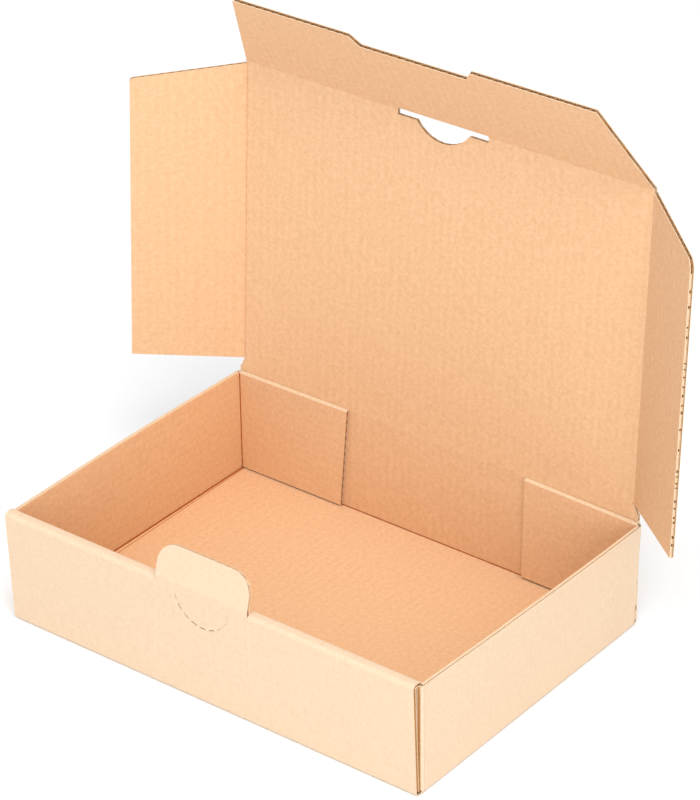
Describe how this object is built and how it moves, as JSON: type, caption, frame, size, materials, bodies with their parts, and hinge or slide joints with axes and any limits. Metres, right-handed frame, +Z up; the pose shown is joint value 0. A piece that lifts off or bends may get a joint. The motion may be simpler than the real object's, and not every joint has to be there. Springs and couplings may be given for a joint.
{
  "type": "mailer box",
  "caption": "Open corrugated-board mailer box: shallow folded tray with a rolled front wall, a hinged lid with tuck flaps, and a lock tab on the front rim.",
  "frame": {"origin": "middle of the underside of the bottom panel", "axes": "+X to the right seen from the front, +Y to the back wall with the lid's hinge, +Z up; the lid stands open as in the picture"},
  "size_m": [0.2399, 0.1382, 0.2019],
  "materials": {
    "kraft_board": "matte"
  },
  "bodies": {
    "tray": {"tray": "kraft_board"},
    "lid_panel": {"lid_panel": "kraft_board"},
    "lid_front_flap": {"lid_front_flap": "kraft_board"},
    "lid_right_flap": {"lid_right_flap": "kraft_board"},
    "lid_left_flap": {"lid_left_flap": "kraft_board"},
    "lock_tab": {"lock_tab": "kraft_board"}
  },
  "joints": [
    {"name": "lid_hinge", "type": "hinge", "parent": "tray", "child": "lid_panel", "pos_m": [0, 0.06425, 0.04425], "axis": [1, 0, 0], "range_deg": [-87, 70]},
    {"name": "front_flap_hinge", "type": "hinge", "parent": "lid_panel", "child": "lid_front_flap", "pos_m": [0, 0.07075, 0.16828], "axis": [1, 0, 0], "range_deg": [-34.2, 61.8]},
    {"name": "right_flap_hinge", "type": "hinge", "parent": "lid_panel", "child": "lid_right_flap", "pos_m": [0.0874, 0.06425, 0.04425], "axis": [0, -0.0523, -0.9986], "range_deg": [-39.9, 50.1]},
    {"name": "left_flap_hinge", "type": "hinge", "parent": "lid_panel", "child": "lid_left_flap", "pos_m": [-0.0874, 0.06425, 0.04425], "axis": [0, 0.0523, 0.9986], "range_deg": [-41.9, 48.1]},
    {"name": "lock_tab_hinge", "type": "hinge", "parent": "tray", "child": "lock_tab", "pos_m": [0, -0.06599, 0.04605], "axis": [-1, 0, 0], "range_deg": [-17, 75]}
  ]
}
